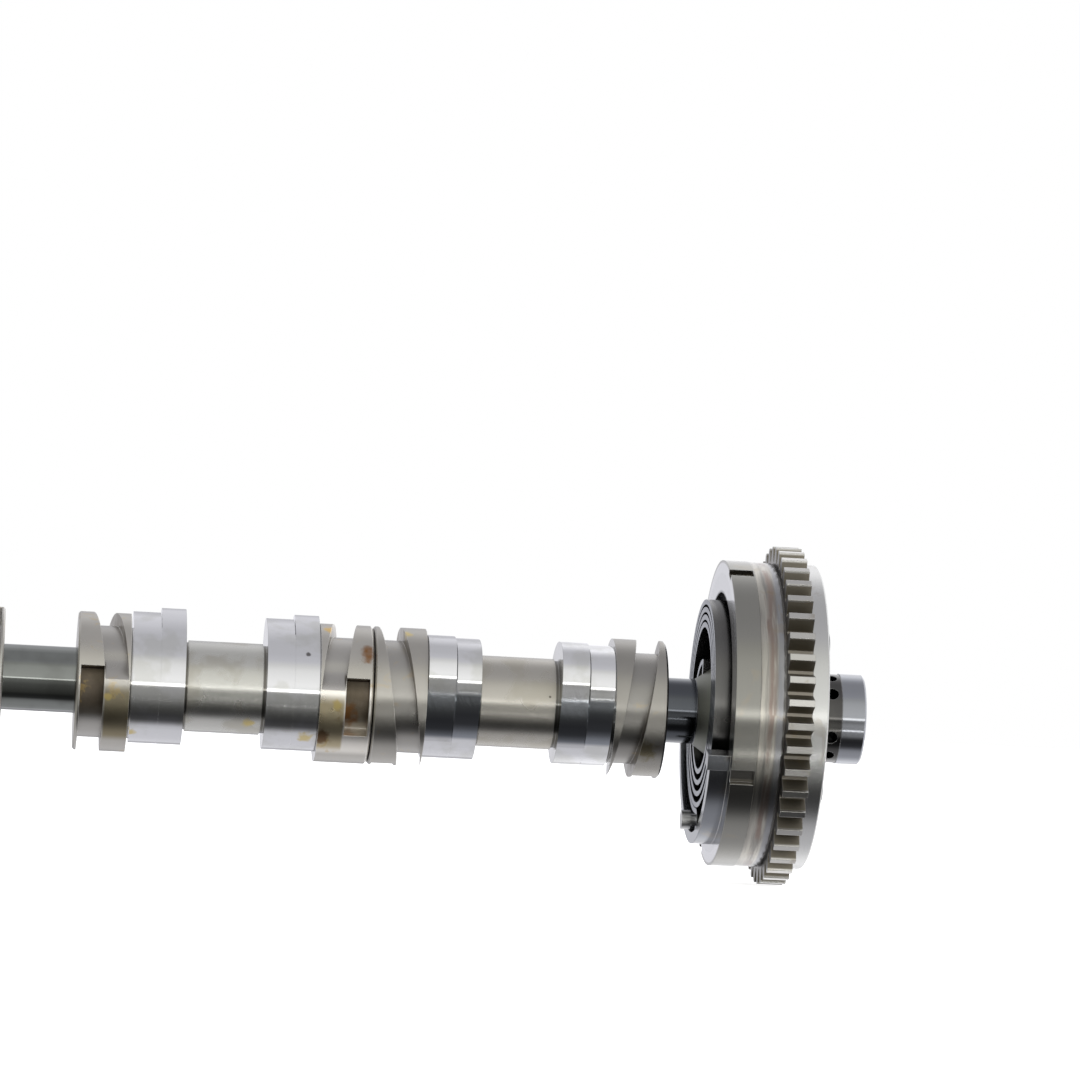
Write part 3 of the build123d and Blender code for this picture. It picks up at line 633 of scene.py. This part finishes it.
# %% Covers
face_r, recess_r, cup_r = 41.3, 33.6, 38.6
cup_top, slot_starts, slot_ends, slot_floor_r, slot_top_r = -37.3, -37.0, -30.5, 40.4, 41.7
for name, low_shade, high_shade, least_rough in (
    ("rear_cover", (0.25, 0.245, 0.22), (0.32, 0.315, 0.285), 0.12),
    ("front_cover", (0.53, 0.53, 0.51), (0.62, 0.62, 0.60), 0.18),
):
    made, tree, shader, place, edge = steel(f"phaser_steel_{name}", 0.3)
    along, out = place["Along"], place["Out"]
    marks = grain_of(tree, place, 3.0)
    film = use(
        tree, oil, Point=place["Point"], Amount=0.42, Size=0.07,
        Thin=colour(0.36, 0.31, 0.23), Thick=colour(0.20, 0.16, 0.11),
    )
    base = blend(tree, marks["Rings"], colour(*low_shade), colour(*high_shade))
    rearward = between(tree, along, -20.0, -30.0)
    face = both(tree, between(tree, out, face_r + 0.6, face_r), rearward)
    base = blend(tree, face, base, colour(0.66, 0.66, 0.665))
    # The recess is painted nearly black, as the shade inside it.
    painted_recess_shade = both(tree, between(tree, out, recess_r + 0.6, recess_r), rearward)
    base = blend(tree, painted_recess_shade, base, colour(0.05, 0.05, 0.052))
    cup = both(tree, between(tree, out, cup_r + 0.4, cup_r), between(tree, along, cup_top + 0.2, cup_top))
    base = blend(tree, cup, base, colour(0.24, 0.25, 0.265))
    # The slot is painted dark brown, as the shade inside it.
    slot_depth = band(tree, out, slot_floor_r, slot_top_r, 0.3)
    slot = both(tree, slot_depth, band(tree, along, slot_starts, slot_ends, 0.1))
    base = blend(tree, slot, base, colour(0.11, 0.10, 0.08))
    base = blend(tree, both(tree, film["Film"], 0.3), base, film["Colour"])
    base = worn(tree, base, edge, 0.45, (0.66, 0.65, 0.62))
    rough = maths(tree, "MULTIPLY_ADD", marks["Rings"], 0.12, least_rough)
    finish(tree, shader, base, rough, marks["Rings"], edge["Normal"], bump=0.08)
    dress([name], made)

# %% [markdown]
# ## Nose and valve
# The nose is a bearing, so it is ground bright. The band with the oil holes is a little lower and
# keeps a dark film, and the holes' insides are painted black as shade. One material goes from the
# one to the other by the place, since both are one turned piece.

# %% Nose
land_ends, holes_r = -3.2, 12.25
made, tree, shader, place, edge = steel("bright_steel")
marks = grain_of(tree, place, 4.0)
base = blend(tree, marks["Rings"], colour(0.28, 0.29, 0.31), colour(0.36, 0.37, 0.39))
behind_land = between(tree, place["Along"], land_ends, land_ends - 0.4)
filmed = blend(tree, marks["Patch"], colour(0.045, 0.045, 0.048), colour(0.15, 0.145, 0.13))
base = blend(tree, behind_land, base, filmed)
# The insides of the oil holes are painted black, as the shade in them.
painted_hole_shade = both(tree, behind_land, between(tree, place["Out"], holes_r, holes_r - 0.65))
base = blend(tree, painted_hole_shade, base, colour(0.02, 0.02, 0.02))
base = worn(tree, base, edge, 0.5, (0.62, 0.62, 0.61))
rough = maths(tree, "MULTIPLY_ADD", marks["Rings"], 0.08, 0.07)
finish(tree, shader, base, rough, marks["Rings"], edge["Normal"], bump=0.05)
dress(["valve_body"], made)

# %% [markdown]
# ## Springs
# Spring strip and wire are hardened and tempered, which leaves them blue-grey, and the edges where
# the turns rub are bright. In the photograph the strip's narrow sides are bluer than its wide
# ones. Two materials would need its faces to be sorted, but the normal tells them apart.

# %% Springs
made, tree, shader, place, edge = steel("spring_steel", 0.2)
marks = grain_of(tree, place, 2.0)
sideways = maths(tree, "ABSOLUTE", x_of(tree, add(tree, "ShaderNodeNewGeometry").outputs["True Normal"]))
wide_side = blend(tree, marks["Patch"], colour(0.105, 0.105, 0.10), colour(0.185, 0.18, 0.172))
narrow_side = blend(tree, marks["Patch"], colour(0.09, 0.098, 0.115), colour(0.21, 0.228, 0.26))
base = blend(tree, between(tree, sideways, 0.5, 0.9), wide_side, narrow_side)
base = worn(tree, base, edge, 0.7, (0.55, 0.58, 0.64))
rough = maths(tree, "MULTIPLY_ADD", marks["Patch"], 0.2, 0.14)
finish(tree, shader, base, rough, marks["Rings"], edge["Normal"])
dress(["return_spring", "lock_pin_spring", "valve_spring", "vane_seal_springs"], made)
dress([f"detent_spring_{n}" for n in range(1, 5)], made)

# %% [markdown]
# ## Springs that go along
# One end of each spring sits on the shaft, and the other is carried by the piece that it pushes.
# The pieces are rigid, so a spring would stay behind when its piece moves. A hook modifier carries
# every point of a spring by a share of that motion: nothing at the fixed end, all of it at the
# other. Bones would do the same with more parts. At rest the hooks change nothing.

# %% Hooks


def follow(spring, mover, share_of):
    """Carries the points of a spring with another piece, each by its share from 0 to 1."""
    piece = nodes[spring]
    carried = piece.vertex_groups.new(name="carried")
    for point in piece.data.vertices:
        carried.add([point.index], min(1.0, max(0.0, share_of(point.co))), "REPLACE")
    hook = piece.modifiers.new("carried", "HOOK")
    hook.object, hook.vertex_group, hook.falloff_type = nodes[mover], "carried", "NONE"
    hook.matrix_inverse = Matrix()


def even_share(spring, axis, fixed_end_is_low):
    """A share that grows evenly from a straight spring's fixed end to its moving end."""
    places_on_axis = [point.co[axis] for point in nodes[spring].data.vertices]
    low, high = min(places_on_axis), max(places_on_axis)
    fixed, moving = (low, high) if fixed_end_is_low else (high, low)
    return lambda at: (at[axis] - fixed) / (moving - fixed)


straight = [("valve_spring", "valve_spool", 0, True), ("lock_pin_spring", "lock_pin", 0, False)]
straight += [(f"detent_spring_{n}", f"detent_ball_{n}", 2, True) for n in range(1, 5)]
for spring, mover, axis, fixed_end_is_low in straight:
    follow(spring, mover, even_share(spring, axis, fixed_end_is_low))
print(len(straight), "straight springs go along")

# %% [markdown]
# ## The spiral winds up
# The flat spring makes nine half turns from its hook round the pin to its tang in the shaft. A
# point's share depends on how many of them lie between it and the hook. The angle alone can't say
# that, because every turn passes it, so the nearest turn is found by its radius.

# %% Wind the return spring
tops = [30.5, 28.4, 26.3, 24.2, 13.9]
bottoms = [27.5, 25.8, 22.7, 19.6, 16.5]
pin_height, hook_mm, tang_r, half_turns = -30.0, 3.3, 13.0, 9


def spiral_share(at):
    """How much of the case's turning a point of the spiral takes part in."""
    ahead, up = -at.y * 1000, at.z * 1000
    out = math.hypot(ahead, up)
    if math.hypot(ahead, up - pin_height) < hook_mm:
        return 1.0
    if out < tang_r:
        return 0.0
    degrees = math.degrees(math.atan2(up, ahead))
    if ahead > 0:
        halves, gone = zip(tops[:-1], bottoms[1:]), 1 + (90 - degrees) / 180
    else:
        halves, gone = zip(tops, bottoms), ((-90 if degrees < 0 else 270) - degrees) / 180
    lean = up / out
    misses = [abs(out - (top + bottom) / 2 - (top - bottom) / 2 * lean) for top, bottom in halves]
    return 1 - (gone + 2 * misses.index(min(misses))) / half_turns


follow("return_spring", "spring_anchor_pin", spiral_share)
print("springs that go along:", [piece.name for piece in nodes.values() if piece.modifiers])

# %% [markdown]
# ## Inner parts and seals
# The rotor is sintered steel with a fine open grain. The balls, the lock pin, its bush and the
# spool are ground. A finish for each would hardly be seen, so they share one with a fine patchy
# grain. The seals on the vanes are a dark filled plastic, the only parts that aren't metal.

# %% Inner steel
made, tree, shader, place, edge = steel("inner_steel", 0.15)
marks = grain_of(tree, place, 3.0, 1.2)
base = blend(tree, marks["Patch"], colour(0.46, 0.46, 0.45), colour(0.64, 0.64, 0.62))
base = worn(tree, base, edge, 0.5, (0.85, 0.85, 0.84))
rough = maths(tree, "MULTIPLY_ADD", marks["Patch"], 0.2, 0.22)
finish(tree, shader, base, rough, marks["Patch"], edge["Normal"], bump=0.1)
dress(["spring_anchor_pin", "rotor", "lock_pin", "lock_bush", "valve_spool"], made)
dress([f"detent_ball_{n}" for n in range(1, 5)], made)

# %% Seals
made, tree, shader, place, edge = steel("seal", 0.1)
shader.inputs["Metallic"].default_value = 0.0
marks = grain_of(tree, place, 4.0, 2.0)
base = blend(tree, marks["Patch"], colour(0.05, 0.045, 0.04), colour(0.12, 0.11, 0.10))
finish(tree, shader, base, 0.5, marks["Patch"], edge["Normal"])
dress(["vane_seals"], made)
print("materials:", sorted(material.name for material in bpy.data.materials))

# %% [markdown]
# ## Floor and light
# Polished steel has hardly any colour of its own and shows the room. The photograph's room is a
# white one with a lamp-lit front wall, a narrow light at eye level, and something dark below it
# that gives every round part its dark band. A room with lamps could be built, but a world that
# changes with the height above the horizon, in front and behind, gives the same bands and renders
# fast. The floor is so pale and so evenly lit that only the faintest shadow is left on it. The
# camera itself sees plain white behind it.

# %% Floor
gap_below, left, right, front_edge, back_edge = 0.0002, -8, 8, -3, 12
floor_z = cad_low.z - gap_below
floor_mesh = bpy.data.meshes.new("floor")
outline = [(left, front_edge), (right, front_edge), (right, back_edge), (left, back_edge)]
floor_mesh.from_pydata([(*corner, floor_z) for corner in outline], [], [(0, 1, 2, 3)])
floor = bpy.data.objects.new("floor", floor_mesh)
bpy.context.scene.collection.objects.link(floor)
paint = bpy.data.materials.new("floor_paint")
paint.use_nodes = True
pale = paint.node_tree.nodes["Principled BSDF"].inputs
pale["Base Color"].default_value = colour(0.9, 0.9, 0.9)
pale["Roughness"].default_value = 0.9
pale["Emission Color"].default_value = colour(1, 1, 1)
pale["Emission Strength"].default_value = 0.8
floor_mesh.materials.append(paint)
floor.visible_glossy = False
print(f"floor {gap_below * 1000:.1f} mm under the teeth, at {floor_z:.4f} m")

# %% Light: bands by height
world = bpy.data.worlds.new("studio")
bpy.context.scene.world = world
world.use_nodes = True
sky = world.node_tree
sky.nodes.clear()
way = add(sky, "ShaderNodeSeparateXYZ", {0: add(sky, "ShaderNodeTexCoord").outputs["Generated"]}).outputs
height = maths(sky, "ARCTAN2", way[2], maths(sky, "MULTIPLY", way[1], -1.0))
degrees_up = maths(sky, "MULTIPLY", height, 180 / math.pi)
room = add(sky, "ShaderNodeValToRGB", {0: maths(sky, "MULTIPLY_ADD", degrees_up, 1 / 360, 0.5)})
bands = {
    -180: 0.85, -166: 0.55, -158: 0.45, -148: 0.80, -130: 0.72, -100: 0.68, -90: 0.58, -84: 0.38,
    -80: 0.20, -74: 0.07, -62: 0.045, -50: 0.065, -42: 0.10, -28: 0.24, -20: 0.31, -10: 0.35,
    -3: 0.40, -1.6: 3.0, 1.6: 3.0, 3: 1.0, 10: 1.12, 30: 1.0, 40: 0.93, 50: 0.77, 60: 0.64,
    75: 0.58, 100: 0.57, 120: 0.74, 140: 0.82, 158: 0.60, 166: 0.60, 180: 0.85,
}
ramp = room.color_ramp
while len(ramp.elements) > 1:
    ramp.elements.remove(ramp.elements[-1])
for number, (degrees, light) in enumerate(sorted(bands.items())):
    stop = ramp.elements[0] if number == 0 else ramp.elements.new(0.5 + degrees / 360)
    stop.position = 0.5 + degrees / 360
    cool = 1.06 if abs(degrees) > 55 else 0.99
    stop.color = colour(light, light, light * cool)
print(len(ramp.elements), "bands of light")

# %% [markdown]
# ## Lamps beside the nose
# The phaser and the nose catch more light than the rest: a thin low lamp, a soft glow around it,
# and a glow from behind. Lamps could stand in the scene, but polished steel would show their hard
# outlines. A share of the direction's X lights these only at the right of the room, with soft
# ends. The far left of the room is plain grey, as the discs' faces show.

# %% Light: lamps at the right
beside_nose = between(sky, way[0], 0.118, 0.134)
low_strip = both(sky, band(sky, degrees_up, -31.0, -29.0, 0.4), beside_nose, 4.6)
low_glow = both(sky, band(sky, degrees_up, -48.0, -12.0, 6.0), beside_nose, 0.42)
behind = between(sky, maths(sky, "ABSOLUTE", degrees_up), 108, 140)
glow = both(sky, behind, between(sky, way[0], 0.085, 0.13), 0.6)
lamps = maths(sky, "ADD", maths(sky, "ADD", low_strip, glow), low_glow)
far_left = between(sky, way[0], -0.6, -0.85)
room_light = blend(sky, far_left, room.outputs[0], colour(0.43, 0.43, 0.41))
lit = add(sky, "ShaderNodeBackground", {"Color": room_light, "Strength": 1.0})
lamp_light = add(sky, "ShaderNodeBackground", {"Color": colour(1, 1, 1), "Strength": lamps})
all_lit = add(sky, "ShaderNodeAddShader", {0: lit.outputs[0], 1: lamp_light.outputs[0]})
plain = add(sky, "ShaderNodeBackground", {"Color": colour(1, 1, 1), "Strength": 1.0})
seen = add(sky, "ShaderNodeLightPath").outputs["Is Camera Ray"]
either = add(sky, "ShaderNodeMixShader", {0: seen, 1: all_lit.outputs[0], 2: plain.outputs[0]})
add(sky, "ShaderNodeOutputWorld", {"Surface": either.outputs[0]})
print("world nodes:", len(sky.nodes))

# %% [markdown]
# ## Colours as they are
# The usual view bends bright colours as a film would, which would turn the white ground grey. The
# plain one shows each colour as the materials and the light make it.

# %% Plain view
view = bpy.context.scene.view_settings
view.view_transform = "Standard"
print("view:", view.view_transform)
